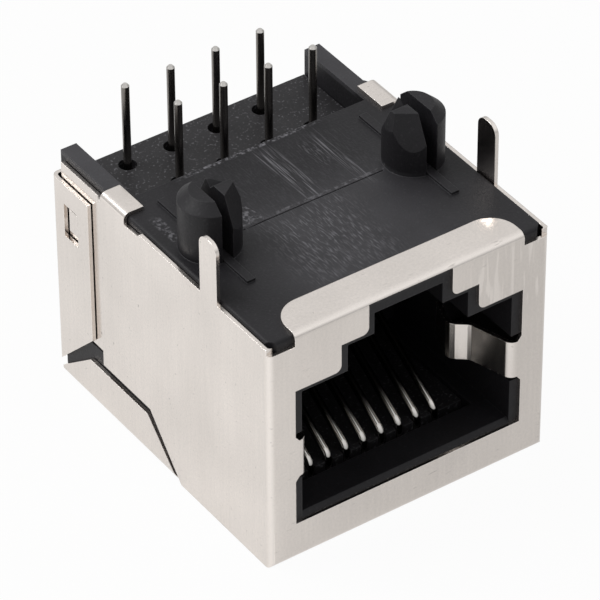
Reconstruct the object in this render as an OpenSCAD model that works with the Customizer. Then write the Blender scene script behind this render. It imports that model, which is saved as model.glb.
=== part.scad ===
// Shielded eight-way modular jack for a circuit board, stored lying on the flat
// face of its shield with the board side up.
//   x: across the port        y: from the port's mouth (low) to the rear (high)
//   z: from the flat face (0) up to the board side
// Inside the modules y is counted from the front face; seat() then moves the
// whole node so that the row's origin is at the centre of the footprint.

/* [Shield] */
// outer width of the folded shield, mm
shell_w = 15.75; // [15:0.05:17]
// depth from the front face to the rear panel's outer face, mm
shell_d = 18.05; // [17:0.05:20]
// height from the flat face to the board side, mm
shell_h = 13.35; // [12.5:0.05:15]
// sheet thickness, mm
sheet_t = 0.2; // [0.15:0.05:0.3]
// outer radius of every fold, mm
fold_r = 0.36; // [0.3:0.02:0.6]
// inward set of the side panel where the rear ear lies over it, mm
joggle = 0.25; // [0.2:0.01:0.4]
// height of the side panel's top edge below the board side, mm
side_drop = 0.38; // [0.2:0.02:0.8]
// depth of the notches beside the front flap, mm
notch_h = 0.72; // [0.4:0.02:1.2]

/* [Front flap] */
// width of the flap folded over the front edge, mm
flap_w = 12.8; // [10:0.1:14]
// depth of the flap, mm
flap_d = 2.1; // [1.2:0.1:3.5]
// radius of the flap's free corners, mm
flap_r = 1.4; // [0.5:0.1:2]

/* [Port] */
// half width of the shield's opening, mm
open_hw = 6.4; // [6.1:0.05:6.8]
// lower edge of the opening, mm
open_z0 = 2.12; // [1.8:0.02:3]
// top of the opening's widest part, mm
open_z1 = 10.05; // [9:0.05:11]
// top of the opening's first latch step, mm
open_z2 = 11.55; // [11:0.05:12.2]
// half width of the first latch step, mm
open_x1 = 3.86; // [3.5:0.02:4.2]
// half width of the second latch step, mm
open_x2 = 2.34; // [2:0.02:2.8]
// radius of the sheet's corners at the latch steps, mm
open_r = 0.35; // [0.1:0.05:0.6]
// how far the moulded port lies inside the opening on each side, mm
port_inset = 0.48; // [0.3:0.02:0.7]
// depth of the port from the front face to its back wall, mm
port_d = 9.6; // [8.5:0.1:10.5]
// thickness of the front wall that holds the plug's latch, mm
latch_wall = 1.7; // [1.2:0.1:2.5]

/* [Spring fingers] */
// lower edge of each grounding finger, mm
finger_z0 = 4.95; // [4:0.05:5.5]
// height of each grounding finger, mm
finger_h = 2.1; // [1.5:0.1:3]

/* [Board side] */
// distance between the two locating pegs, mm
peg_gap = 11.43; // [11.43:0.01:11.43]
// distance of the pegs in front of the rear panel, mm
peg_back = 10.25; // [9.8:0.05:10.7]
// radius of the pegs, mm
peg_r = 1.5; // [1.4:0.02:1.6]
// height of the pegs above the board side, mm
peg_h = 3.2; // [2.6:0.1:4]
// slot that splits each peg in two halves, mm
peg_slot = 0.6; // [0.4:0.05:0.9]
// height of the ribs that run through the pegs' slots, mm
rib_h = 0.14; // [0.1:0.01:0.18]
// distance of the ground tabs in front of the pegs, mm
tab_lead = 3.05; // [3.05:0.01:3.05]
// width of each ground tab, mm
tab_w = 1.35; // [1:0.05:1.8]
// height of tabs and tails above the board side, mm
tail_h = 3.05; // [2.5:0.05:3.6]

/* [Contacts] */
// wire diameter, mm
wire_d = 0.4; // [0.35:0.01:0.46]
// contact pitch in the port, mm
port_pitch = 1.016; // [1.016:0.001:1.02]
// pitch of the tails counted over both rows, mm
tail_pitch = 1.27; // [1.27:0.01:1.27]
// distance of the front row of tails behind the pegs, mm
row_lag = 6.35; // [6.35:0.01:6.35]
// distance between the two rows of tails, mm
row_gap = 2.54; // [2.54:0.01:2.54]
// radius of the hairpin bend at the mouth of the port, mm
hairpin_r = 0.65; // [0.45:0.05:0.7]
// distance of the hairpin bends behind the front face, mm
mouth_y = 2.75; // [2.6:0.05:3]
// rise of the contact springs, degrees
spring_a = 31; // [24:1:36]
// radius of the clearance holes round the tails, mm
tail_hole_r = 0.45; // [0.35:0.05:0.6]

/* [Fits] */
// gap between shield and moulding on each side, mm
shell_fit = 0.03; // [0.01:0.01:0.08]
// gap between housing and contact carrier, mm
carrier_fit = 0.03; // [0.01:0.01:0.08]
// gap round each wire in its groove or bore, mm
wire_fit = 0.03; // [0.02:0.01:0.06]

/* [Hidden] */
$fn = 48;
e = 0.02;
t = sheet_t;
ro = fold_r;
ri = fold_r - sheet_t;
er = ri + 0.02;                   // eased edges of the housing inside the folds
hw = shell_w / 2;                 // half width of the shield
in_hw = hw - t;                   // inner face of the side panels
strip_hw = hw - joggle;           // outer face of the set-in side strips
body_hw = in_hw - shell_fit;      // half width of the housing
tail_hw = strip_hw - t - shell_fit; // half width of the housing behind the set-in strips
top_z = shell_h - t;              // moulded board side
side_z = shell_h - side_drop;     // top edge of the side panels
tip_z = shell_h + tail_h;         // tips of tails and ground tabs
peg_y = shell_d - peg_back;       // pegs, counted from the front face
tab_y = peg_y - tab_lead;
row1_y = peg_y + row_lag;
row2_y = row1_y + row_gap;
wr = wire_d / 2;

// side panel
side_end = shell_d - 4.1;         // where the side panel starts to step in
strip_end = shell_d - 0.55;       // rear end of the set-in strip
side_low = 2.92;                  // lower edge of the side panel's rear half
over_y0 = side_end - 2.2;         // tab folded over on the board side
over_y1 = side_end - 0.2;
over_w = 1.12;
// rear ear and bottom strip
ear_y0 = shell_d - 3.15;
ear_top = shell_h - 1.5;
strip_h = 2.45;
win_y0 = shell_d - 2.22;
win_y1 = shell_d - 1.04;
win_z0 = 8.78;
win_z1 = 10.7;
rear_top = shell_h - 1.95;

// moulded port
port_hw = open_hw - port_inset;
port_z0 = open_z0 + 0.25;
port_z1 = open_z1 - 0.35;
port_z2 = open_z2 - 0.35;
port_z3 = top_z - 0.76;
port_x1 = open_x1 - port_inset;
port_x2 = open_x2 - port_inset + 0.05;

// contact carrier
floor_z = 1.1;                    // inner face of the housing's lower wall
wall_y = row1_y - 1.3;            // rear face of the housing's full-height part
well_hw = 6.53;                   // half width of the rear well
carrier_top = shell_h - 1.65;
tongue_hw = 5.1;
tongue_z = 2.1;
tongue_y = mouth_y + 0.1;
flat_w = wire_d + 0.05;           // coined flat of each wire
flat_t = wire_d + 0.04;
flat_l = 0.5;
run_z = floor_z + flat_t / 2;     // centre line of the wires under the tongue
pin_c = [mouth_y + wr + hairpin_r, run_z + hairpin_r]; // centre of the hairpin bend, [y, z]
fan_y0 = 5.2;                     // the wires fan out from here to their tails
spring_y1 = port_d + 0.8;         // free end of the springs
elbow_r = 0.6;

function port_x(i) = (i - 3.5) * port_pitch;
function tail_x(i) = (i - 3.5) * tail_pitch;
function tail_y(i) = i % 2 == 0 ? row2_y : row1_y;
function fan_a(i) = atan2(tail_x(i) - port_x(i), tail_y(i) - fan_y0);
function fan_l(i) = norm([tail_x(i) - port_x(i), tail_y(i) - fan_y0]);

module seat() { translate([0, -shell_d / 2, 0]) children(); }

// a side view (y, z) drawn as a slab across x
module across(w) { rotate([90, 0, 90]) translate([0, 0, -w / 2]) linear_extrude(w) children(); }
// a front view (x, z) drawn as a slab from y0 to y1
module along(y0, y1) { translate([0, y1, 0]) rotate([90, 0, 0]) linear_extrude(y1 - y0) children(); }

// rectangle x0..x1, y0..y1 with a radius at the corners that are marked 1:
// [low x low y, high x low y, high x high y, low x high y]
module rounded(x0, y0, x1, y1, r, c) {
  difference() {
    translate([x0, y0]) square([x1 - x0, y1 - y0]);
    if (c[0] == 1) translate([x0 - e, y0 - e]) square(r + e);
    if (c[1] == 1) translate([x1 - r, y0 - e]) square(r + e);
    if (c[2] == 1) translate([x1 - r, y1 - r]) square(r + e);
    if (c[3] == 1) translate([x0 - e, y1 - r]) square(r + e);
  }
  if (c[0] == 1) translate([x0 + r, y0 + r]) circle(r);
  if (c[1] == 1) translate([x1 - r, y0 + r]) circle(r);
  if (c[2] == 1) translate([x1 - r, y1 - r]) circle(r);
  if (c[3] == 1) translate([x0 + r, y1 - r]) circle(r);
}

// ------------------------------------------------------------------ shield
// outline of the stepped opening, with rounded metal corners at the steps
module opening() {
  translate([-open_hw, open_z0]) square([2 * open_hw, open_z1 - open_z0]);
  translate([-open_x1, open_z1 - e]) square([2 * open_x1, open_z2 - open_z1 + e]);
  translate([-open_x2, open_z2 - e]) square([2 * open_x2, top_z - open_z2 + e]);
  for (s = [-1, 1]) for (c = [[open_x1, open_z1], [open_x2, open_z2]])
    scale([s, 1]) difference() {
      translate([c[0] - e, c[1] - e]) square(open_r + e);
      translate([c[0] + open_r, c[1] + open_r]) circle(open_r);
    }
}

// side panel seen from the side: edges, ground tab, folded-over tab's root
module side_outline() {
  difference() {
    union() {
      translate([0, -e]) square([t, shell_h - notch_h + e]);
      polygon([[0, 0], [side_end - 6.55, 0], [side_end - 4.0, side_low], [side_end + 0.2, side_low],
               [side_end + 0.2, side_z - 0.12], [over_y1, side_z - 0.12], [over_y1, shell_h - ro],
               [over_y0, shell_h - ro], [over_y0, side_z - 0.2], [over_y0 - 1.1, side_z - 0.2],
               [over_y0 - 1.3, side_z + 0.02], [t, side_z], [t, shell_h - notch_h], [0, shell_h - notch_h]]);
      rounded(tab_y - tab_w / 2, side_z - 1, tab_y + tab_w / 2, tip_z - 0.05, 0.55, [0, 0, 1, 1]);
    }
    translate([side_end + 0.12, 0]) square([1, 3.4]);
  }
}

// front panel and both side panels, folded round the front's upright edges
module wrap() {
  intersection() {
    union() {
      // front and main side panels
      linear_extrude(shell_h - ro) difference() {
        rounded(-hw, 0, hw, side_end, ro, [1, 1, 0, 0]);
        rounded(-in_hw, t, in_hw, side_end + 1, ri, [1, 1, 0, 0]);
      }
      // upper rims and ground tabs of the side panels
      for (s = [-1, 1]) scale([s, 1, 1]) translate([in_hw, t, shell_h - ro - e]) cube([t, side_end - t, tip_z - shell_h + ro]);
      // the step in and the strip under the rear ear
      for (s = [-1, 1]) scale([s, 1, 1]) translate([0, 0, 3.4]) linear_extrude(side_z - 0.24 - 3.4)
        polygon([[hw, side_end - e], [hw, side_end], [strip_hw, side_end + 0.38], [strip_hw, strip_end],
                 [strip_hw - t, strip_end], [strip_hw - t, side_end + 0.3], [in_hw, side_end - 0.08], [in_hw, side_end - 0.08 - e]]);
    }
    union() {
      across(shell_w + 2) intersection() {
        side_outline();
        rounded(0, 0, shell_d, 2 * shell_h, ro, [1, 0, 0, 0]);
      }
      translate([-flap_w / 2, -1, 0.1]) cube([flap_w, 1 + 2 * t, shell_h]);
      translate([-hw - 1, side_end - 0.02, 3.4]) cube([shell_w + 2, shell_d, side_z - 0.24 - 3.4]);
    }
    // rounded lower front edge, carried across the panel
    across(shell_w + 2) rounded(0, 0, shell_d, 2 * shell_h, ro, [1, 0, 0, 0]);
  }
}

// bottom panel, folded up at the front and at the rear
module pan() {
  intersection() {
    across(2 * (in_hw - 0.05)) difference() {
      rounded(0, 0, shell_d, rear_top, ro, [1, 1, 0, 0]);
      rounded(t, t, shell_d - t, rear_top + 1, ri, [1, 1, 0, 0]);
    }
    // the front upright stays below the opening, corners are relieved at the rear
    union() {
      translate([-hw, -1, 0]) cube([shell_w, shell_d - 0.5, open_z0]);
      translate([-hw + 0.5, shell_d - 1.6, 0]) cube([shell_w - 1, 2, shell_h]);
    }
  }
}

// ears folded forward from the rear panel, with the latch windows
module ears() {
  difference() {
    intersection() {
      translate([0, 0, 0.6]) linear_extrude(ear_top - 0.6) difference() {
        rounded(-hw, ear_y0, hw, shell_d, ro, [0, 0, 1, 1]);
        rounded(-in_hw, ear_y0 - 1, in_hw, shell_d - t, ri, [0, 0, 1, 1]);
      }
      union() {
        across(shell_w + 2) polygon([[ear_y0, ear_top], [ear_y0, 3.75], [shell_d - 0.25, 0.82], [shell_d + 1, 0.82], [shell_d + 1, ear_top]]);
      }
    }
    translate([-hw + 0.6, shell_d - 1.5, rear_top]) cube([shell_w - 1.2, 2, 2]);
    across(shell_w + 2) translate([win_y0, win_z0]) square([win_y1 - win_y0, win_z1 - win_z0]);
  }
}

// catches pressed out of the set-in strips, standing in the ears' windows
module catches() {
  for (s = [-1, 1]) scale([s, 1, 1]) translate([0, win_y0 + 0.03, win_z0 + 0.6]) difference() {
    translate([strip_hw - t / 2, 0, 0]) cube([hw - strip_hw + t / 2 - 0.01, 0.68, 1.26]);
    translate([hw - 0.1, 0.68, -e]) rotate([0, 0, 45]) cube([0.3, 0.3, 2]);
  }
}

// low strips folded up from the bottom panel over the rear half of the sides
module low_strips() {
  intersection() {
    along(side_end - 6.5, shell_d - 0.3) difference() {
      rounded(-hw, 0, hw, strip_h, ro, [1, 1, 0, 0]);
      rounded(-in_hw, t, in_hw, strip_h + 1, ri, [1, 1, 0, 0]);
    }
    across(shell_w + 2) polygon([[side_end - 6.5, 0], [side_end - 6.2, 0], [side_end - 3.75, strip_h], [shell_d - 2.95, strip_h + 0.04],
                                 [shell_d - 0.38, 0.44], [shell_d - 0.38, 0]]);
  }
}

// flap folded over the front edge onto the moulding
module flap() {
  intersection() {
    across(flap_w) difference() {
      rounded(0, shell_h - 1.2, flap_d, shell_h, ro, [0, 0, 0, 1]);
      rounded(t, shell_h - 2, flap_d + 1, top_z, ri, [0, 0, 0, 1]);
    }
    translate([0, 0, shell_h - 2]) linear_extrude(3) rounded(-flap_w / 2, -1, flap_w / 2, flap_d, flap_r, [0, 0, 1, 1]);
    translate([-hw, -1, shell_h - ro - e]) cube([shell_w, flap_d + 2, 1]);
  }
}

// tabs of the side panels folded over the moulding's rear walls
module over_tabs() {
  intersection() {
    along(over_y0, over_y1) difference() {
      rounded(-hw, shell_h - 1, hw, shell_h, ro, [0, 0, 1, 1]);
      rounded(-in_hw, shell_h - 2, in_hw, top_z, ri, [0, 0, 1, 1]);
    }
    for (s = [-1, 1]) scale([s, 1, 1]) translate([hw - over_w, over_y0, shell_h - ro - e]) cube([over_w, over_y1 - over_y0, 1]);
  }
}

// a sheet strip drawn along a path: the path is its left face, w its thickness
function unit(v) = v / norm(v);
function right_of(d) = [d[1], -d[0]];
function beside(p, i, w) = let (
    n1 = right_of(unit(p[max(i, 1)] - p[max(i, 1) - 1])),
    n2 = right_of(unit(p[min(i + 1, len(p) - 1)] - p[min(i + 1, len(p) - 1) - 1])))
  p[i] + w * (n1 + n2) / (1 + n1 * n2);
module strip(p, w) {
  polygon(concat(p, [for (i = [len(p) - 1:-1:0]) beside(p, i, w)]));
}

// grounding fingers bent back into the port from the opening's side edges
module fingers() {
  r = 0.3 + t;                    // outer radius of the root bend
  lean = 19.6;                    // slant of the arm from the depth axis
  c = [open_hw - 0.22, r];
  for (s = [-1, 1]) scale([s, 1, 1]) {
    translate([0, 0, finger_z0]) linear_extrude(finger_h) {
      translate([c[0] - e, 0]) square([0.22 + 0.3, t]);
      // root bend
      intersection() {
        translate(c) difference() { circle(r); circle(r - t); }
        polygon([c, [c[0], -1], [c[0] - 2, -1], c - 2 * [cos(lean), sin(lean)]]);
      }
      // arm, contact bend and free end
      strip([c - r * [cos(lean), sin(lean)] + e * [sin(lean), -cos(lean)], [open_hw - 1.26, 2.2], [open_hw - 1.38, 2.36],
             [open_hw - 1.84, 2.72], [open_hw - 2.0, 2.94], [open_hw - 2.04, 3.24], [open_hw - 1.56, 4.6]], t);
    }
    // small gussets where the finger leaves the edge
    for (m = [0, 1]) translate([open_hw, 0, finger_z0 + m * finger_h]) scale([1, 1, m == 0 ? -1 : 1])
      along(0, t) polygon([[e, -e], [e, 0.28], [0, 0.28], [-0.22, 0], [-0.22, -e]]);
  }
}

module shield() {
  color([0.86, 0.83, 0.80]) seat() {
    difference() {
      union() {
        wrap();
        pan();
        ears();
        catches();
        low_strips();
        flap();
        over_tabs();
      }
      along(-1, t + 0.001) opening();
      // what the bend of the flap leaves above the narrow step
      translate([-open_x2, -1, open_z2]) cube([2 * open_x2, 1 + t + ro, top_z - open_z2]);
    }
    fingers();
  }
}

// ------------------------------------------------------------------ housing
// the port's cross-section, seen from the front
module port_section(z3) {
  translate([-port_hw, port_z0]) square([2 * port_hw, port_z1 - port_z0]);
  translate([-port_x1, port_z1 - e]) square([2 * port_x1, port_z2 - port_z1 + e]);
  translate([-port_x2, port_z2 - e]) square([2 * port_x2, z3 - port_z2 + e]);
}

// one locating peg, split front to back, its inner half towards low x:
// the outer half ends in a cone, the inner half in three flats and a notched top
module peg() {
  straight = peg_h - 0.5;
  difference() {
    union() {
      intersection() {
        union() {
          translate([0, 0, -0.1]) cylinder(h = straight + 0.1, r = peg_r);
          translate([0, 0, straight]) cylinder(h = 0.5, r1 = peg_r, r2 = peg_r - 0.53);
        }
        translate([0, -peg_r - 1, -1]) cube([peg_r + 1, 2 * peg_r + 2, peg_h + 2]);
      }
      difference() {
        intersection() {
          translate([0, 0, -0.1]) cylinder(h = peg_h + 0.1, r = peg_r);
          translate([-peg_r - 1, -peg_r - 1, -1]) cube([peg_r + 1, 2 * peg_r + 2, peg_h + 2]);
        }
        // bearing, distance from the axis at the top, and lean of each flat
        for (f = [[-55, peg_r - 0.68, 21], [0, peg_r - 0.3, 17], [55, peg_r - 0.68, 21]])
          rotate([0, 0, 180 + f[0]]) translate([f[1], 0, peg_h]) rotate([0, -f[2], 0])
            translate([0, -peg_r - 1, -peg_h - 1]) cube([2, 2 * peg_r + 2, peg_h + 2]);
        translate([-peg_r - 1, 0.38, peg_h + 0.06]) rotate([45, 0, 0]) translate([0, -0.25, -0.25]) cube([peg_r + 2, 0.5, 0.5]);
      }
    }
    translate([-peg_slot / 2, -peg_r - 1, 0]) cube([peg_slot, 2 * peg_r + 2, peg_h + 1]);
  }
}

module housing() {
  color([0.16, 0.16, 0.17]) seat() {
    difference() {
      union() {
        // main block, set in behind the rear ears, eased where the shield's folds run
        intersection() {
          union() {
            translate([0, 0, t]) linear_extrude(3.3 - t)
              polygon([[-body_hw, t + 0.4], [-body_hw + 0.4, t], [body_hw - 0.4, t], [body_hw, t + 0.4],
                       [body_hw, shell_d - t - 0.2], [body_hw - 0.2, shell_d - t], [-body_hw + 0.2, shell_d - t], [-body_hw, shell_d - t - 0.2]]);
            translate([0, 0, 3.2]) linear_extrude(top_z - 3.2)
              polygon([[-body_hw, t + 0.4], [-body_hw + 0.4, t], [body_hw - 0.4, t], [body_hw, t + 0.4],
                       [body_hw, side_end - 0.12], [tail_hw, side_end + 0.24], [tail_hw, shell_d - t],
                       [-tail_hw, shell_d - t], [-tail_hw, side_end + 0.24], [-body_hw, side_end - 0.12]]);
          }
          across(shell_w) rounded(t, t, shell_d - t, top_z, er, [1, 1, 0, 1]);
          along(0, shell_d) rounded(-body_hw, t, body_hw, top_z, er, [1, 1, 1, 1]);
        }
      }
      // stepped port, then the room behind the latch wall
      along(t - 1, port_d) port_section(port_z3);
      along(t + latch_wall, port_d) translate([-port_x1, port_z2 - e]) square([2 * port_x1, port_z3 - port_z2 + e]);
      // lead-in at the port's lower edge
      across(2 * port_hw) polygon([[t - 1, port_z0 - 1.2], [t + 0.2, port_z0], [t + 0.2, port_z0 + 1], [t - 1, port_z0 + 1]]);
      // pockets for the grounding fingers
      for (s = [-1, 1]) scale([s, 1, 1]) translate([port_hw - e, t - 1, finger_z0 - 0.3]) cube([1.15, 6.3, finger_h + 0.6]);
      // channel for the carrier's tongue
      translate([-tongue_hw - carrier_fit, 2.1, floor_z]) cube([2 * (tongue_hw + carrier_fit), wall_y, port_z0 - floor_z + e]);
      translate([-tongue_hw - carrier_fit, port_d - e, floor_z]) cube([2 * (tongue_hw + carrier_fit), wall_y, tongue_z + carrier_fit - floor_z]);
      // comb for the springs' free ends
      for (i = [0:7]) translate([port_x(i) - wr - 0.1, port_d - e, tongue_z - e]) cube([wire_d + 0.2, 1.6, 6.0]);
      // well for the carrier, open to the rear and to the board side
      translate([-well_hw, wall_y, floor_z]) cube([2 * well_hw, shell_d, shell_h]);
      // shallow line across the board side, between the pegs
      translate([-4.05, peg_y, top_z - 0.05]) cube([8.1, 0.08, 1]);
    }
    for (s = [-1, 1]) {
      translate([s * peg_gap / 2, peg_y, top_z]) scale([s, 1, 1]) peg();
      // stand-off rib that runs through the peg's slot
      translate([s * peg_gap / 2 - 0.22, peg_y - 3.35, top_z - e]) cube([0.44, 7.4, rib_h + e]);
    }
    // moulded ramp beside one peg
    intersection() {
      translate([0, 0, top_z - e]) linear_extrude(0.4) polygon([[-3.75, peg_y], [-2.45, peg_y + 0.1], [-2.85, peg_y + 1.3], [-3.75, peg_y + 1.45]]);
      translate([-5, peg_y + 0.02, top_z - 0.3]) rotate([5, 0, 0]) cube([4, 4, 0.3]);
    }
  }
}

// ------------------------------------------------------------------ carrier
// clearance groove for wire i, from the hairpin back to its tail
module wire_way(i) {
  w = wire_d + 2 * wire_fit;
  x0 = port_x(i);
  x1 = tail_x(i);
  up = run_z + wr + wire_fit - floor_z + e;
  translate([x0 - w / 2, 0, floor_z - e]) cube([w, fan_y0, up]);
  translate([x0, fan_y0, floor_z - e]) cylinder(h = up, r = w / 2);
  // room for the coined flat
  translate([x0 - flat_w / 2 - 0.02, fan_y0 - flat_l / 2 - 0.02, floor_z - e]) cube([flat_w + 0.04, flat_l + 0.04, flat_t + 0.02 + e]);
  // slanting run, elbow room and bore up to the board side
  translate([x1, tail_y(i), 0]) {
    rotate([0, 0, -fan_a(i)]) {
      translate([-w / 2, -fan_l(i), floor_z - e]) cube([w, fan_l(i), up]);
      translate([-w / 2, -elbow_r, floor_z - e]) cube([w, elbow_r, elbow_r + wr + 0.1]);
    }
    translate([0, 0, floor_z - e]) cylinder(h = carrier_top, r = w / 2);
    translate([0, 0, carrier_top - 1.3]) cylinder(h = 2, r = tail_hole_r);
  }
  // slot round the hairpin, leaving the core that the wire is bent over
  difference() {
    translate([x0 - w / 2, 0, floor_z - e]) cube([w, pin_c[0] + 0.25, 4]);
    translate([x0 - w, pin_c[0], pin_c[1]]) rotate([0, 90, 0]) cylinder(h = 2 * w, r = hairpin_r - wr - wire_fit);
    translate([x0 - w, pin_c[0], pin_c[1] - hairpin_r + wr + wire_fit]) cube([2 * w, 1, hairpin_r - wr - wire_fit + 0.1]);
  }
}

module carrier() {
  color([0.14, 0.14, 0.15]) seat() difference() {
    union() {
      translate([-tongue_hw, tongue_y, floor_z]) cube([2 * tongue_hw, shell_d - 3 - tongue_y, tongue_z - floor_z]);
      translate([-well_hw + carrier_fit, wall_y + carrier_fit, floor_z])
        cube([2 * (well_hw - carrier_fit), shell_d - t - wall_y - carrier_fit, carrier_top - floor_z]);
    }
    for (i = [0:7]) wire_way(i);
  }
}

// ------------------------------------------------------------------ contacts
// straight stretch of wire between two points given as [y, z] at one x
module wire_yz(a, b) {
  d = b - a;
  translate([0, a[0], a[1]]) rotate([atan2(-d[0], d[1]), 0, 0]) cylinder(h = norm(d), r = wr);
}
// bend in a plane of constant x about centre c ([y, z]), from angle a through da,
// angles counted from +y towards +z
module bend_yz(c, r, a, da) {
  translate([0, c[0], c[1]]) rotate([90, 0, 90]) rotate([0, 0, a])
    rotate_extrude(angle = da) translate([r, 0]) circle(wr);
}

module contact(i) {
  x0 = port_x(i);
  x1 = tail_x(i);
  a = spring_a;
  // length of the spring from the end of the hairpin to its free end
  spring_l = (spring_y1 - pin_c[0] + hairpin_r * sin(a)) / cos(a);
  color([0.80, 0.76, 0.68]) seat() {
    translate([x0, 0, 0]) {
      // spring and hairpin, drawn about the hairpin's centre
      translate([0, pin_c[0], pin_c[1]]) rotate([90, 0, 90]) rotate([0, 0, 90 + a]) {
        translate([hairpin_r, 0, 0]) rotate([90, 0, 0]) cylinder(h = spring_l, r = wr);
        rotate_extrude(angle = 180 - a) translate([hairpin_r, 0]) circle(wr);
      }
      wire_yz([pin_c[0], run_z], [fan_y0 - 0.06, run_z]);
      // coined flat that keeps the wire upright in its groove
      translate([-flat_w / 2, fan_y0 - flat_l / 2, floor_z]) cube([flat_w, flat_l, flat_t]);
    }
    // slanting run, elbow and tail
    translate([x1, tail_y(i), 0]) rotate([0, 0, -fan_a(i)]) {
      wire_yz([0.06 - fan_l(i), run_z], [-elbow_r, run_z]);
      bend_yz([-elbow_r, run_z + elbow_r], elbow_r, -90, 90);
      wire_yz([0, run_z + elbow_r], [0, tip_z - 0.1]);
      translate([0, 0, tip_z - 0.1]) cylinder(h = 0.1, r1 = wr, r2 = wr - 0.08);
    }
  }
}

shield();
housing();
carrier();
contact(0);  // contact_1
contact(1);  // contact_2
contact(2);  // contact_3
contact(3);  // contact_4
contact(4);  // contact_5
contact(5);  // contact_6
contact(6);  // contact_7
contact(7);  // contact_8
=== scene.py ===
"""Finishes, contact wires and studio for a shielded eight-way board jack.

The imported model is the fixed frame: the folded shield, the moulded housing and
the contact carrier keep their shapes and get their finishes here, and the eight
contact wires are drawn again as smooth bent wire. Lengths in the settings are
in millimetres and are turned to metres where they are used. Inside the jack, y
is counted from the shield's front face, as on a drawing of it.
"""
import math

import bpy
from bpy.props import (FloatProperty, FloatVectorProperty, IntProperty,
                       PointerProperty)
from mathutils import Matrix, Vector


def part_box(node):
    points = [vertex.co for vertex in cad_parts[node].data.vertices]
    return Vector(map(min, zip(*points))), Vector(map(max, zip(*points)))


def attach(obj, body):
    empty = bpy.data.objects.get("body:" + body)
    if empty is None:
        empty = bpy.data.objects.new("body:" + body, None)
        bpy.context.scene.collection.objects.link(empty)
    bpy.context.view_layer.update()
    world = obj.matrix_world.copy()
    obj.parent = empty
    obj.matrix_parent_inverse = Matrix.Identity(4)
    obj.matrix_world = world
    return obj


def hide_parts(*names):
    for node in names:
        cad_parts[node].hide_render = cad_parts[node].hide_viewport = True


bl_info = {
    "name": "Shielded board jack",
    "version": (1, 0, 0),
    "blender": (4, 5, 0),
    "location": "View3D > Sidebar > Board jack",
    "description": "Finishes, contact wires and a studio for a shielded board jack",
    "category": "Object",
}

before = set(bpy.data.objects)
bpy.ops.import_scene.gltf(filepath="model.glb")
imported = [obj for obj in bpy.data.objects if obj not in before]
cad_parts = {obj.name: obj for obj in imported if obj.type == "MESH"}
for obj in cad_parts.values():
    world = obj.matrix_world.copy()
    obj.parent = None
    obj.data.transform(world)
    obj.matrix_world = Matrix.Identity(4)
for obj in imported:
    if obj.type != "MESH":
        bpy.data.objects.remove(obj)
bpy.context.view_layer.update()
MM = 0.001
WIRES = [name for name in sorted(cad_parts) if name.startswith("contact_")]
FRONT_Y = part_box("shield")[0].y / MM       # the shield's front face
TIP_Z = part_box(WIRES[0])[1].z / MM         # tips of the tails
FLOOR_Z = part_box(WIRES[0])[0].z / MM       # floor that the wires lie on
TIP_CONE = 0.1                             # height of the cone on each tip
TIP_SHARE = 0.6                            # thickness left at the end of a tip
FLAT_EXTRA = 0.04                          # coined flat over the wire's diameter
TABLE_HALF = 3.0                           # half the table's width, in metres


# ------------------------------------------------------------------ helpers
def linear(code):
    """An sRGB colour such as "#3a393d" as linear RGBA."""
    parts = [int(code[i:i + 2], 16) / 255 for i in (1, 3, 5)]
    return [p / 12.92 if p <= 0.04045 else ((p + 0.055) / 1.055) ** 2.4
            for p in parts] + [1.0]


def colour(name, code, text):
    """A colour setting whose default is given in sRGB."""
    return FloatVectorProperty(name=name, description=text, subtype="COLOR",
                               size=4, min=0, max=1, default=linear(code))


def length(name, value, text, low=0.0, high=100.0):
    """A length setting in millimetres."""
    return FloatProperty(name=name, description=text + ", mm", default=value,
                         min=low, max=high)


def share(name, value, text, high=1.0):
    """A plain number setting from 0."""
    return FloatProperty(name=name, description=text, default=value, min=0, max=high)


def add(tree, kind, inputs=None, **settings):
    """Adds a node with its settings, and fills or links its inputs."""
    node = tree.nodes.new(kind)
    for key, value in settings.items():
        setattr(node, key, value)
    for socket, value in (inputs or {}).items():
        if isinstance(value, bpy.types.NodeSocket):
            tree.links.new(value, node.inputs[socket])
        else:
            node.inputs[socket].default_value = value
    return node


def new_material(name):
    """An empty node material and its tree."""
    material = bpy.data.materials.new(name)
    material.use_nodes = True
    material.node_tree.nodes.clear()
    return material, material.node_tree


def dress(node, material):
    """Gives a CAD node its finish."""
    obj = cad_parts[node]
    obj.data.materials.clear()
    obj.data.materials.append(material)


def millimetres(tree):
    """Object coordinates in mm, with y counted from the front face."""
    place = add(tree, "ShaderNodeTexCoord").outputs["Object"]
    return add(tree, "ShaderNodeMapping",
               {"Vector": place, "Location": (0, -FRONT_Y, 0),
                "Scale": (1 / MM,) * 3}).outputs[0]


def mottle(tree, at, per_mm, low, high, to_low, to_high, detail=2.0, wobble=0.0):
    """Noise with so many features a mm along x, y and z, stretched to a range."""
    scaled = add(tree, "ShaderNodeMapping", {"Vector": at, "Scale": per_mm})
    noise = add(tree, "ShaderNodeTexNoise",
                {"Vector": scaled.outputs[0], "Scale": 1.0, "Detail": detail,
                 "Distortion": wobble})
    return add(tree, "ShaderNodeMapRange",
               {"Value": noise.outputs["Fac"], "From Min": low, "From Max": high,
                "To Min": to_low, "To Max": to_high}).outputs[0]


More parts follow.
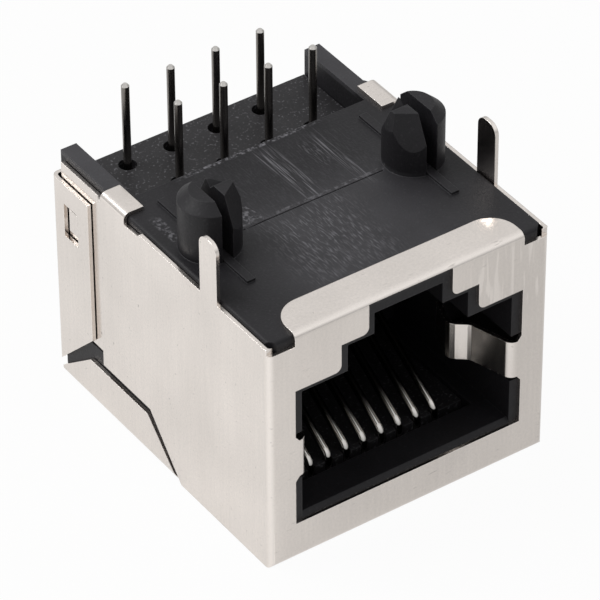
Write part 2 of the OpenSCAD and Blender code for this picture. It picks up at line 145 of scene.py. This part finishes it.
def window(tree, at, low, high, soft=0.25, turn=0.0):
    """1 inside the box from low to high (mm), 0 outside, with a soft rim whose
    width is a share of the box; turn rotates the box about z, in degrees."""
    centre = Vector([(a + b) / 2 for a, b in zip(low, high)])
    half = Vector([(b - a) / 2 for a, b in zip(low, high)])
    moved = add(tree, "ShaderNodeVectorMath", {0: at, 1: centre},
                operation="SUBTRACT")
    turned = add(tree, "ShaderNodeVectorRotate",
                 {"Vector": moved.outputs[0], "Angle": math.radians(-turn)},
                 rotation_type="Z_AXIS")
    shrunk = add(tree, "ShaderNodeVectorMath", {0: turned.outputs[0], 1: half},
                 operation="DIVIDE")
    flat = add(tree, "ShaderNodeVectorMath", {0: shrunk.outputs[0]},
               operation="ABSOLUTE")
    part = add(tree, "ShaderNodeSeparateXYZ", {0: flat.outputs[0]})
    far = add(tree, "ShaderNodeMath", {0: part.outputs[0], 1: part.outputs[1]},
              operation="MAXIMUM")
    far = add(tree, "ShaderNodeMath", {0: far.outputs[0], 1: part.outputs[2]},
              operation="MAXIMUM")
    return add(tree, "ShaderNodeMapRange",
               {"Value": far.outputs[0], "From Min": 1 + soft, "From Max": 1 - soft,
                "To Min": 0.0, "To Max": 1.0},
               interpolation_type="SMOOTHSTEP").outputs[0]


def combine(tree, operation, *values):
    """Folds several numbers into one with the same sum."""
    total = values[0]
    for value in values[1:]:
        total = add(tree, "ShaderNodeMath", {0: total, 1: value},
                    operation=operation).outputs[0]
    return total


def eased(tree, radius):
    """The normal of edges eased to a radius in mm, and how much of a point
    lies on such an edge."""
    normal = add(tree, "ShaderNodeBevel", {"Radius": radius * MM}, samples=6)
    flat = add(tree, "ShaderNodeNewGeometry").outputs["Normal"]
    turn = add(tree, "ShaderNodeVectorMath", {0: normal.outputs[0], 1: flat},
               operation="DOT_PRODUCT")
    edge = add(tree, "ShaderNodeMapRange",
               {"Value": turn.outputs["Value"], "From Min": 0.995, "From Max": 0.90,
                "To Min": 0.0, "To Max": 1.0}).outputs[0]
    return normal.outputs[0], edge


# ------------------------------------------------------------------ settings
class JackFinish(bpy.types.PropertyGroup):
    """Colours and surface values of the jack's materials."""
    nickel: colour("Nickel", "#e7e0da", "Plated shield")
    # pale colour for the painted highlight on folds and cut edges, also used for the
    # draw marks
    nickel_highlight_and_marks: colour("Nickel highlight and marks", "#fbf4ee", "Folds and cut edges of the shield")
    nickel_rough: share("Nickel roughness", 0.17, "Roughness of the plated sheet")
    housing: colour("Housing", "#1e1d20", "Moulded housing")
    carrier: colour("Carrier", "#262527", "Contact carrier")
    scuff: colour("Scuffs", "#8f8e93", "Rubbed and scratched plastic")
    plastic_rough: share("Plastic roughness", 0.44, "Roughness of the mouldings")
    wire: colour("Wire", "#d3d0cc", "Plated contact wire")
    tail: colour("Tails", "#84807c", "Tinned tails of the wires")
    # painted shade on the springs behind their bends
    painted_spring_shade: colour("Painted spring shade", "#4a4744", "Springs behind their bends")


class JackWires(bpy.types.PropertyGroup):
    """Sizes of the contact wires."""
    thick: length("Wire", 0.4, "Diameter of the wire", 0.2, 0.6)
    port_pitch: length("Port pitch", 1.016, "Spacing of the springs in the port")
    tail_pitch: length("Tail pitch", 1.27, "Spacing of the tails over both rows")
    hairpin: length("Hairpin radius", 0.65, "Bend at the mouth of the port")
    mouth: length("Mouth", 2.75, "Front of the hairpins behind the front face")
    rise: FloatProperty(name="Spring angle", default=31.0, min=0, max=60,
                        description="Rise of the springs, degrees")
    spring_end: length("Spring end", 10.4, "Free ends behind the front face")
    fan: length("Fan", 5.2, "Where the wires fan out, behind the front face")
    elbow: length("Elbow radius", 0.6, "Bend below each tail")
    front_row: length("Front row", 14.15, "Front row of tails behind the front face")
    row_gap: length("Row gap", 2.54, "Distance between the rows of tails")
    facets: IntProperty(name="Facets", default=24, min=8, max=64,
                        description="Sides of the wire's round section")
    steps: IntProperty(name="Bend steps", default=14, min=3, max=40,
                       description="Steps in each bend")


class JackStage(bpy.types.PropertyGroup):
    """Floor, light and camera."""
    floor: colour("Floor", "#dcdbd9", "Table under the jack")
    azimuth: FloatProperty(name="Azimuth", default=-34.69,
                           description="Camera's bearing from the front, degrees")
    elevation: FloatProperty(name="Elevation", default=38.73,
                             description="Camera's height above the table, degrees")
    roll: FloatProperty(name="Roll", default=0.26,
                        description="Camera's roll, degrees")
    distance: length("Distance", 225.7, "Camera to the jack", 50, 2000)
    lens: length("Lens", 287.0, "Focal length on a 36 mm sensor", 20, 600)
    sky: share("Sky", 0.50, "Strength of the light from overhead", 2)
    horizon: share("Horizon", 0.12, "Strength of the light from the sides", 2)
    mirrored: share("Mirrored room", 0.85, "Brightness of the room in the metal", 2)
    key: FloatProperty(name="Key lamp", default=1.5, min=0, max=10, unit="POWER",
                       description="Large lamp behind the left shoulder")
    fill: FloatProperty(name="Fill lamp", default=0.03, min=0, max=10, unit="POWER",
                        description="Soft lamp over the front")


# ------------------------------------------------------------------ materials
def nickel_plated_brass(finish):
    """Brass sheet, rolled, stamped and nickel plated. It gives the eye a pale,
    slightly warm mirror softened by upright rolling lines, with soft cloudy
    tone, folds and cut edges lightened in colour as a painted highlight, and a few dark
    specks."""
    material, tree = new_material("nickel_plated_brass_stamped")
    at = millimetres(tree)
    normal, edge = eased(tree, 0.045)
    flat = add(tree, "ShaderNodeNewGeometry").outputs["Normal"]
    side = add(tree, "ShaderNodeSeparateXYZ", {0: flat})
    # rolling lines run up the panels: 0.15 mm apart and some 5 mm long
    lines = mottle(tree, at, (6.5, 6.5, 0.2), 0.3, 0.7, 0.0, 1.0, 3.0)
    # clouds in the plating, 4 mm across, and its fine grain, 0.12 mm
    cloud = mottle(tree, at, (0.24, 0.24, 0.17), 0.3, 0.7, 0.94, 1.04)
    grain = mottle(tree, at, (8, 8, 8), 0.3, 0.7, 0.965, 1.03)
    tone = combine(tree, "MULTIPLY", cloud, grain,
                   add(tree, "ShaderNodeMapRange",
                       {"Value": lines, "To Min": 0.975, "To Max": 1.02}).outputs[0])
    base = add(tree, "ShaderNodeMix", {0: 1.0, 6: finish.nickel, 7: tone},
               data_type="RGBA", blend_type="MULTIPLY").outputs[2]
    # painted highlight: the folds, where the face points between two axes, and the cut
    # edges are lightened in colour
    parts = [combine(tree, "MULTIPLY", side.outputs[a], side.outputs[b])
             for a, b in ((0, 1), (1, 2), (0, 2))]
    parts = [combine(tree, "MULTIPLY", part, part) for part in parts]
    fold_highlight = combine(tree, "MULTIPLY", combine(tree, "ADD", *parts), 3.2)
    bright = add(tree, "ShaderNodeMath", {0: fold_highlight, 1: edge}, operation="MAXIMUM",
                 use_clamp=True).outputs[0]
    base = add(tree, "ShaderNodeMix",
               {0: bright, 6: base, 7: finish.nickel_highlight_and_marks},
               data_type="RGBA").outputs[2]
    # draw marks beside the latch steps: wavy upright lines 0.3 mm apart
    drawn = mottle(tree, at, (3.4, 1.0, 0.33), 0.52, 0.62, 0.0, 1.0, 1.0, 0.35)
    zone = window(tree, at, (3.4, -0.4, 9.4), (8.2, 0.3, 13.0), 0.2)
    base = add(tree, "ShaderNodeMix",
               {0: combine(tree, "MULTIPLY", drawn, zone, 0.55),
                6: base, 7: finish.nickel_highlight_and_marks},
               data_type="RGBA").outputs[2]
    # specks of 0.1 mm, far apart, and a few shallow scratches
    specks = mottle(tree, at, (2.6, 2.6, 2.6), 0.735, 0.77, 0.0, 0.45, 4.0)
    scratch = mottle(tree, at, (1.1, 5.5, 9.0), 0.70, 0.74, 0.0, 0.25, 2.0, 0.2)
    base = add(tree, "ShaderNodeMix",
               {0: combine(tree, "MAXIMUM", specks, scratch),
                6: base, 7: linear("#6e655d")},
               data_type="RGBA").outputs[2]
    rough = combine(tree, "ADD", finish.nickel_rough,
                    add(tree, "ShaderNodeMapRange",
                        {"Value": lines, "To Min": -0.04, "To Max": 0.06}).outputs[0],
                    combine(tree, "MULTIPLY", bright, 0.08))
    bump = add(tree, "ShaderNodeBump",
               {"Height": lines, "Strength": 0.02, "Distance": 0.01 * MM,
                "Normal": normal})
    shader = add(tree, "ShaderNodeBsdfPrincipled",
                 {"Base Color": base, "Metallic": 1.0, "Roughness": rough,
                  "Normal": bump.outputs[0]})
    add(tree, "ShaderNodeOutputMaterial", {"Surface": shader.outputs[0]})
    return material


def handled_top(tree, at):
    """Where the housing's board side is rubbed: scratches along the jack,
    dashes between the pegs, the worn step to the carrier, a lighter patch on the small
    raised facet by the left peg, and a soft lighter cloud that is partly rubbed haze
    and partly painted sheen.
    Returns the scratches and the cloud, each 0 to 1."""
    low, high = 12.9, 13.32
    along = mottle(tree, at, (15, 0.5, 1), 0.50, 0.64, 0.0, 1.0, 3.0, 0.1)
    dashes = mottle(tree, at, (13, 2.0, 1), 0.50, 0.72, 0.0, 1.0, 3.0, 0.3)
    grit = mottle(tree, at, (6, 6, 3), 0.46, 0.66, 0.0, 1.0, 3.0)
    marks = [
        (along, window(tree, at, (-0.15, 8.0, low), (0.85, 12.3, high), 0.3, 2), 0.60),
        (along, window(tree, at, (2.7, 7.7, low), (3.25, 12.2, high), 0.3, 1), 0.50),
        (dashes, window(tree, at, (1.9, 9.8, low), (2.6, 11.7, high), 0.4), 0.4),
        (dashes, window(tree, at, (-3.2, 2.6, low), (1.2, 7.5, high), 0.6), 0.50),
        (dashes, window(tree, at, (-3.4, 8.2, low), (4.6, 12.4, high), 0.3), 0.07),
        (grit, window(tree, at, (-3.7, 12.62, 12.6), (3.5, 12.95, high), 0.25), 0.75),
        (grit, window(tree, at, (-7.0, 8.6, low), (-6.5, 10.8, high), 0.3), 0.6),
        # the next mark makes the small raised facet by the left peg lighter
        (grit, window(tree, at, (-3.75, 7.8, 13.165), (-2.45, 9.2, high), 0.12), 0.55),
        (grit, window(tree, at, (-2.2, 7.9, low), (4.5, 8.12, high), 0.3), 0.4),
    ]
    scratches = combine(tree, "MAXIMUM", *[
        combine(tree, "MULTIPLY", pattern, place, amount)
        for pattern, place, amount in marks])
    # rubbed haze and painted sheen: a lighter cloud in the middle of the board side and
    # on the rear walls
    cloud = mottle(tree, at, (0.5, 0.35, 0.5), 0.3, 0.7, 0.55, 1.0)
    rub_haze_and_painted_sheen = combine(tree, "MULTIPLY", cloud, combine(
        tree, "MAXIMUM",
        window(tree, at, (-4.2, 0.4, low), (4.6, 8.4, high), 0.55),
        combine(tree, "MULTIPLY",
                window(tree, at, (-8.0, 13.6, low), (-6.4, 18.2, high), 0.15), 1.6),
        combine(tree, "MULTIPLY",
                window(tree, at, (6.4, 13.6, low), (8.0, 18.2, high), 0.15), 1.2)))
    return scratches, rub_haze_and_painted_sheen


def moulded_pbt(name, base_colour, finish, grit_per_mm, speckle, handled):
    """Black glass-filled PBT, moulded. It gives the eye a near-black satin with
    a fine grain, edges lightened in colour, partly edge wear and partly painted
    highlight, and grey where it has been rubbed."""
    material, tree = new_material(name)
    at = millimetres(tree)
    normal, edge = eased(tree, 0.06)
    grain = mottle(tree, at, (grit_per_mm,) * 3, 0.3, 0.7, 0.0, 1.0, 3.0)
    cloud = mottle(tree, at, (0.4, 0.4, 0.4), 0.3, 0.7, 0.85, 1.2)
    base = add(tree, "ShaderNodeMix", {0: 1.0, 6: base_colour, 7: cloud},
               data_type="RGBA", blend_type="MULTIPLY").outputs[2]
    # edges lightened toward the scuff grey: partly edge wear, partly painted highlight
    base = add(tree, "ShaderNodeMix",
               {0: combine(tree, "MULTIPLY", edge, 0.10), 6: base, 7: finish.scuff},
               data_type="RGBA").outputs[2]
    # pale grains that stand out of the skin
    grains = mottle(tree, at, (grit_per_mm * 0.8,) * 3, 0.60, 0.72, 0.0, speckle, 2.0)
    base = add(tree, "ShaderNodeMix",
               {0: grains, 6: base, 7: finish.scuff},
               data_type="RGBA").outputs[2]
    rough = combine(tree, "ADD", finish.plastic_rough,
                    combine(tree, "MULTIPLY", grain, 0.10))
    if handled:
        scratches, rub_haze_and_painted_sheen = handled_top(tree, at)
        # lighter cloud: rubbed haze and painted sheen
        base = add(tree, "ShaderNodeMix",
                   {0: combine(tree, "MULTIPLY", rub_haze_and_painted_sheen, 0.13),
                    6: base, 7: finish.scuff},
                   data_type="RGBA").outputs[2]
        base = add(tree, "ShaderNodeMix",
                   {0: scratches, 6: base, 7: finish.scuff},
                   data_type="RGBA").outputs[2]
        rough = combine(tree, "ADD", rough, combine(tree, "MULTIPLY", scratches, 0.1))
        grain = combine(tree, "ADD", grain, combine(tree, "MULTIPLY", scratches, 1.5))
    bump = add(tree, "ShaderNodeBump",
               {"Height": grain, "Strength": 0.22, "Distance": 0.02 * MM,
                "Normal": normal})
    shader = add(tree, "ShaderNodeBsdfPrincipled",
                 {"Base Color": base, "Roughness": rough, "Normal": bump.outputs[0],
                  "IOR": 1.5, "Specular IOR Level": 0.3})
    add(tree, "ShaderNodeOutputMaterial", {"Surface": shader.outputs[0]})
    return material


def plated_bronze_wire(finish):
    """Phosphor bronze wire, drawn, plated on the springs and tinned on the
    tails. It gives the eye narrow bright glints on the springs and greyer,
    duller tails whose cut tips stay bright, partly bare cut metal and partly painted
    highlight; drawing lines run along it."""
    material, tree = new_material("plated_phosphor_bronze_drawn")
    at = millimetres(tree)
    height = add(tree, "ShaderNodeSeparateXYZ", {0: at}).outputs[2]
    lay = add(tree, "ShaderNodeAttribute", attribute_name="lay").outputs["Vector"]
    lines = mottle(tree, lay, (14 / MM, 14 / MM, 0.25 / MM), 0.3, 0.7, 0.0, 1.0)
    tail = add(tree, "ShaderNodeMapRange",
               {"Value": height, "From Min": 9.0, "From Max": 11.0,
                "To Min": 0.0, "To Max": 1.0}).outputs[0]
    # the cut tips keep the bright spring colour: partly bare cut metal, partly painted
    # highlight
    tip = add(tree, "ShaderNodeMapRange",
              {"Value": height, "From Min": TIP_Z - 0.14, "From Max": TIP_Z - 0.08,
               "To Min": 1.0, "To Max": 0.0}).outputs[0]
    base = add(tree, "ShaderNodeMix",
               {0: combine(tree, "MULTIPLY", tail, tip),
                6: finish.wire, 7: finish.tail},
               data_type="RGBA").outputs[2]
    # behind their bends the springs are drawn duller than they would really be,
    # because little light reaches them there
    depth = add(tree, "ShaderNodeSeparateXYZ", {0: at}).outputs[1]
    painted_spring_shade = add(tree, "ShaderNodeMapRange",
               {"Value": depth, "From Min": 3.2, "From Max": 4.6,
                "To Min": 0.0, "To Max": 0.9}).outputs[0]
    low = add(tree, "ShaderNodeMath", {0: 9.0, 1: height}, operation="GREATER_THAN")
    base = add(tree, "ShaderNodeMix",
               {0: combine(tree, "MULTIPLY", painted_spring_shade, low.outputs[0]),
                6: base, 7: finish.painted_spring_shade},
               data_type="RGBA").outputs[2]
    tone = add(tree, "ShaderNodeMapRange",
               {"Value": lines, "To Min": 0.88, "To Max": 1.06}).outputs[0]
    base = add(tree, "ShaderNodeMix", {0: 1.0, 6: base, 7: tone},
               data_type="RGBA", blend_type="MULTIPLY").outputs[2]
    rough = combine(tree, "ADD", 0.08, combine(tree, "MULTIPLY", tail, 0.14),
                    combine(tree, "MULTIPLY", lines, 0.05))
    bump = add(tree, "ShaderNodeBump",
               {"Height": lines, "Strength": 0.06, "Distance": 0.01 * MM})
    shader = add(tree, "ShaderNodeBsdfPrincipled",
                 {"Base Color": base, "Metallic": 1.0, "Roughness": rough,
                  "Normal": bump.outputs[0]})
    add(tree, "ShaderNodeOutputMaterial", {"Surface": shader.outputs[0]})
    return material


# ------------------------------------------------------------------ wires
def wire_path(wires, i):
    """Corner points of wire i in mm, with the bend radius at each."""
    port_x = (i - 3.5) * wires.port_pitch
    tail_x = (i - 3.5) * wires.tail_pitch
    tail_y = wires.front_row + (wires.row_gap if i % 2 == 0 else 0)
    rise = math.radians(wires.rise)
    run_z = FLOOR_Z + (wires.thick + FLAT_EXTRA) / 2
    centre = Vector((port_x, wires.mouth + wires.thick / 2 + wires.hairpin,
                     run_z + wires.hairpin))
    top = centre + wires.hairpin * Vector((0, -math.sin(rise), math.cos(rise)))
    along = Vector((0, math.cos(rise), math.sin(rise)))
    end = top + along * (wires.spring_end - top.y) / along.y
    # the hairpin turns by more than a right angle, so it is drawn as an arc
    sweep = math.pi - rise
    points = [(end, 0.0)]
    for k in range(wires.steps * 2 + 1):
        turn = math.pi / 2 + rise + sweep * k / (wires.steps * 2)
        points.append((centre + wires.hairpin
                       * Vector((0, math.cos(turn), math.sin(turn))), 0.0))
    points += [
        (Vector((port_x, wires.fan, run_z)), wires.thick),
        (Vector((tail_x, tail_y, run_z)), wires.elbow),
        (Vector((tail_x, tail_y, TIP_Z - TIP_CONE)), 0.0),
        (Vector((tail_x, tail_y, TIP_Z)), 0.0),
    ]
    return points


def bent_wire():
    """Geometry Nodes that turn a line with a bend radius at each corner into
    round wire: fillet, sweep a circle, close the ends, keep the lay of the
    surface for the drawing lines. Returns the tree and its inputs' names."""
    tree = bpy.data.node_groups.new("bent_wire", "GeometryNodeTree")
    sockets = {}
    for name, kind in (("Path", "NodeSocketGeometry"), ("Diameter", "NodeSocketFloat"),
                       ("Bend steps", "NodeSocketInt"), ("Facets", "NodeSocketInt"),
                       ("Finish", "NodeSocketMaterial")):
        sockets[name] = tree.interface.new_socket(
            name=name, in_out="INPUT", socket_type=kind).identifier
    tree.interface.new_socket(name="Wire", in_out="OUTPUT",
                              socket_type="NodeSocketGeometry")
    given = add(tree, "NodeGroupInput").outputs
    line = add(tree, "GeometryNodeMeshToCurve", {"Mesh": given["Path"]})
    bend = add(tree, "GeometryNodeInputNamedAttribute", {"Name": "bend"},
               data_type="FLOAT")
    fillet = add(tree, "GeometryNodeFilletCurve",
                 {"Curve": line.outputs[0], "Radius": bend.outputs[0],
                  "Limit Radius": True}, mode="POLY")
    tree.links.new(given["Bend steps"], fillet.inputs["Count"])
    run = add(tree, "GeometryNodeCaptureAttribute", {0: fillet.outputs[0]})
    run.capture_items.new("FLOAT", "run")
    tree.links.new(add(tree, "GeometryNodeSplineParameter").outputs["Length"],
                   run.inputs[1])
    radius = add(tree, "ShaderNodeMath", {0: given["Diameter"], 1: 0.5},
                 operation="MULTIPLY")
    circle = add(tree, "GeometryNodeCurvePrimitiveCircle",
                 {"Resolution": given["Facets"], "Radius": radius.outputs[0]})
    rim = add(tree, "GeometryNodeCaptureAttribute", {0: circle.outputs[0]})
    rim.capture_items.new("VECTOR", "rim")
    tree.links.new(add(tree, "GeometryNodeInputPosition").outputs[0], rim.inputs[1])
    taper = add(tree, "GeometryNodeInputNamedAttribute", {"Name": "taper"},
                data_type="FLOAT")
    sweep = add(tree, "GeometryNodeCurveToMesh",
                {"Curve": run.outputs[0], "Profile Curve": rim.outputs[0],
                 "Scale": taper.outputs[0], "Fill Caps": True})
    flat = add(tree, "ShaderNodeSeparateXYZ", {0: rim.outputs[1]})
    lay = add(tree, "ShaderNodeCombineXYZ",
              {0: flat.outputs[0], 1: flat.outputs[1], 2: run.outputs[1]})
    stored = add(tree, "GeometryNodeStoreNamedAttribute",
                 {"Geometry": sweep.outputs[0], "Name": "lay"},
                 data_type="FLOAT_VECTOR", domain="POINT")
    tree.links.new(lay.outputs[0], stored.inputs["Value"])
    real = add(tree, "GeometryNodeRealizeInstances", {0: stored.outputs[0]})
    finish = add(tree, "GeometryNodeSetMaterial",
                 {"Geometry": real.outputs[0], "Material": given["Finish"]})
    add(tree, "NodeGroupOutput", {0: finish.outputs[0]})
    return tree, sockets


def line_mesh(name, points):
    """A chain of edges with the attributes that bent_wire reads."""
    mesh = bpy.data.meshes.new(name)
    places = [(p + Vector((0, FRONT_Y, 0))) * MM for p, _ in points]
    mesh.from_pydata(places, [(k, k + 1) for k in range(len(points) - 1)], [])
    bend = mesh.attributes.new("bend", "FLOAT", "POINT")
    taper = mesh.attributes.new("taper", "FLOAT", "POINT")
    for k, (_, radius) in enumerate(points):
        bend.data[k].value = radius * MM
        taper.data[k].value = 1.0
    taper.data[len(points) - 1].value = TIP_SHARE
    return mesh


def as_plain_mesh(obj, name):
    """Replaces an object and its modifiers with the plain mesh they make."""
    graph = bpy.context.evaluated_depsgraph_get()
    mesh = bpy.data.meshes.new_from_object(obj.evaluated_get(graph))
    mesh.name = name
    bpy.data.objects.remove(obj)
    plain = bpy.data.objects.new(name, mesh)
    bpy.context.scene.collection.objects.link(plain)
    return plain


# ------------------------------------------------------------------ operators
class JACK_OT_shield(bpy.types.Operator):
    """Finishes the folded shield"""
    bl_idname = "jack.shield"
    bl_label = "Shield"

    def execute(self, context):
        dress("shield", nickel_plated_brass(context.scene.jack_finish))
        return {"FINISHED"}


class JACK_OT_mouldings(bpy.types.Operator):
    """Finishes the housing and the contact carrier"""
    bl_idname = "jack.mouldings"
    bl_label = "Housing and carrier"

    def execute(self, context):
        finish = context.scene.jack_finish
        # the housing's skin is fine, 0.12 mm; the carrier's stands out
        dress("housing", moulded_pbt("black_pbt_moulded", finish.housing, finish,
                                     8.0, 0.04, True))
        dress("carrier", moulded_pbt("black_pbt_moulded_coarse", finish.carrier,
                                     finish, 9.0, 0.42, False))
        return {"FINISHED"}


class JACK_OT_contacts(bpy.types.Operator):
    """Draws the eight contact wires"""
    bl_idname = "jack.contacts"
    bl_label = "Contact wires"

    def execute(self, context):
        wires = context.scene.jack_wires
        material = plated_bronze_wire(context.scene.jack_finish)
        tree, sockets = bent_wire()
        for i, node in enumerate(WIRES):
            name = node.replace("contact", "contact_wire")
            rough = bpy.data.objects.new(name + "_line",
                                         line_mesh(name + "_line", wire_path(wires, i)))
            context.scene.collection.objects.link(rough)
            bend = rough.modifiers.new("bent_wire", "NODES")
            bend.node_group = tree
            bend[sockets["Diameter"]] = wires.thick * MM
            bend[sockets["Bend steps"]] = wires.steps
            bend[sockets["Facets"]] = wires.facets
            bend[sockets["Finish"]] = material
            piece = as_plain_mesh(rough, name)
            piece.data.set_sharp_from_angle(angle=math.radians(35))
            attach(piece, "root")
            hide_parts(node)
        return {"FINISHED"}


def area_lamp(name, energy, size, place, aim):
    """A square soft lamp that faces a point."""
    data = bpy.data.lights.new(name, "AREA")
    data.energy, data.size = energy, size
    lamp = bpy.data.objects.new(name, data)
    lamp.location = place
    lamp.rotation_mode = "QUATERNION"
    lamp.rotation_quaternion = (aim - place).to_track_quat("-Z", "Y")
    bpy.context.scene.collection.objects.link(lamp)
    return lamp


def white_laminate(stage):
    """A white laminated table. The camera sees it as white paper with a faint
    contact shadow; the metal sees it brighter than the plastic does, with a painted
    pool of light that fades from left to right."""
    material, tree = new_material("white_laminate_table")
    path = add(tree, "ShaderNodeLightPath").outputs
    at = millimetres(tree)
    fleck = mottle(tree, at, (0.3, 0.3, 0.3), 0.3, 0.7, 0.97, 1.0)
    tone = add(tree, "ShaderNodeMix", {0: 1.0, 6: stage.floor, 7: fleck},
               data_type="RGBA", blend_type="MULTIPLY").outputs[2]
    lit = add(tree, "ShaderNodeBsdfDiffuse", {"Color": tone})
    glow = add(tree, "ShaderNodeEmission", {"Color": (1, 1, 1, 1), "Strength": 1.0})
    seen = combine(tree, "MULTIPLY", path["Is Camera Ray"], 0.96)
    mirrored = combine(tree, "MULTIPLY", path["Is Glossy Ray"], 0.62)
    # painted pool of light: the glow that the metal mirrors fades from left to right
    across = add(tree, "ShaderNodeSeparateXYZ", {0: at}).outputs[0]
    painted_light_pool = add(tree, "ShaderNodeMapRange",
               {"Value": across, "From Min": -16.0, "From Max": 16.0,
                "To Min": 1.12, "To Max": 0.72}).outputs[0]
    level = add(tree, "ShaderNodeMix",
                {0: path["Is Glossy Ray"], 2: 1.0, 3: painted_light_pool}).outputs[0]
    tree.links.new(level, glow.inputs["Strength"])
    amount = combine(tree, "MAXIMUM", seen, mirrored, path["Is Transmission Ray"])
    mix = add(tree, "ShaderNodeMixShader",
              {0: amount, 1: lit.outputs[0], 2: glow.outputs[0]})
    add(tree, "ShaderNodeOutputMaterial", {"Surface": mix.outputs[0]})
    return material


def studio_world(stage):
    """Soft light, strong overhead and weak from the sides, white to the camera."""
    world = bpy.data.worlds.new("studio")
    world.use_nodes = True
    tree = world.node_tree
    tree.nodes.clear()
    path = add(tree, "ShaderNodeLightPath").outputs
    ray = add(tree, "ShaderNodeTexCoord").outputs["Generated"]
    up = add(tree, "ShaderNodeSeparateXYZ", {0: ray}).outputs[2]
    dome = add(tree, "ShaderNodeMapRange",
               {"Value": up, "From Min": 0.0, "From Max": 0.75,
                "To Min": stage.horizon, "To Max": stage.sky},
               interpolation_type="SMOOTHSTEP").outputs[0]
    room = add(tree, "ShaderNodeMapRange",
               {"Value": up, "From Min": 0.0, "From Max": 0.75,
                "To Min": stage.mirrored * 0.55, "To Max": stage.mirrored},
               interpolation_type="SMOOTHSTEP").outputs[0]
    strength = add(tree, "ShaderNodeMix",
                   {0: path["Is Glossy Ray"], 2: dome, 3: room}).outputs[0]
    soft = add(tree, "ShaderNodeBackground",
               {"Color": (1, 1, 1, 1), "Strength": strength})
    white = add(tree, "ShaderNodeBackground", {"Color": (1, 1, 1, 1), "Strength": 1.0})
    amount = combine(tree, "MAXIMUM", path["Is Camera Ray"],
                     path["Is Transmission Ray"])
    mix = add(tree, "ShaderNodeMixShader",
              {0: amount, 1: soft.outputs[0], 2: white.outputs[0]})
    add(tree, "ShaderNodeOutputWorld", {"Surface": mix.outputs[0]})
    return world


class JACK_OT_stage(bpy.types.Operator):
    """Makes the floor, the light and the camera"""
    bl_idname = "jack.stage"
    bl_label = "Studio"

    def execute(self, context):
        scene, stage = context.scene, context.scene.jack_stage
        aim = Vector((0, FRONT_Y + 8.5, 6.5)) * MM
        mesh = bpy.data.meshes.new("table_top")
        half = TABLE_HALF
        mesh.from_pydata([(-half, -half, 0), (half, -half, 0), (half, half, 0),
                          (-half, half, 0)], [], [(0, 1, 2, 3)])
        floor = bpy.data.objects.new("table_top", mesh)
        scene.collection.objects.link(floor)
        mesh.materials.append(white_laminate(stage))
        scene.world = studio_world(stage)
        area_lamp("key_lamp", stage.key, 0.30, aim + Vector((-0.26, 0.20, 0.44)), aim)
        area_lamp("fill_lamp", stage.fill, 0.35, aim + Vector((0.10, -0.45, 0.30)), aim)
        # camera
        az, el = math.radians(stage.azimuth), math.radians(stage.elevation)
        back = Vector((math.sin(az) * math.cos(el), -math.cos(az) * math.cos(el),
                       math.sin(el)))
        data = bpy.data.cameras.new("camera")
        data.sensor_width, data.lens = 36.0, stage.lens
        data.shift_x, data.shift_y = -0.0076, 0.0090
        data.clip_start, data.clip_end = 0.01, 20.0
        camera = bpy.data.objects.new("camera", data)
        camera.location = aim + back * stage.distance * MM
        camera.rotation_mode = "QUATERNION"
        camera.rotation_quaternion = (
            (-back).to_track_quat("-Z", "Y").to_matrix()
            @ Matrix.Rotation(-math.radians(stage.roll), 3, "Z")).to_quaternion()
        scene.collection.objects.link(camera)
        scene.camera = camera
        scene.view_settings.view_transform = "Standard"
        return {"FINISHED"}


class JACK_PT_panel(bpy.types.Panel):
    """The jack's operators and settings in the sidebar"""
    bl_idname = "JACK_PT_panel"
    bl_label = "Board jack"
    bl_space_type = "VIEW_3D"
    bl_region_type = "UI"
    bl_category = "Board jack"

    def draw(self, context):
        for kind in OPERATORS:
            self.layout.operator(kind.bl_idname)
        scene = context.scene
        for group in (scene.jack_finish, scene.jack_wires, scene.jack_stage):
            for key in group.bl_rna.properties.keys():
                if key not in ("rna_type", "name"):
                    self.layout.prop(group, key)


OPERATORS = (JACK_OT_shield, JACK_OT_mouldings, JACK_OT_contacts, JACK_OT_stage)
CLASSES = (JackFinish, JackWires, JackStage, *OPERATORS, JACK_PT_panel)


def register():
    for kind in CLASSES:
        bpy.utils.register_class(kind)
    bpy.types.Scene.jack_finish = PointerProperty(type=JackFinish)
    bpy.types.Scene.jack_wires = PointerProperty(type=JackWires)
    bpy.types.Scene.jack_stage = PointerProperty(type=JackStage)


def unregister():
    del bpy.types.Scene.jack_stage
    del bpy.types.Scene.jack_wires
    del bpy.types.Scene.jack_finish
    for kind in reversed(CLASSES):
        bpy.utils.unregister_class(kind)


def main():
    register()
    bpy.ops.jack.shield()
    bpy.ops.jack.mouldings()
    bpy.ops.jack.contacts()
    bpy.ops.jack.stage()


if __name__ == "__main__":
    main()
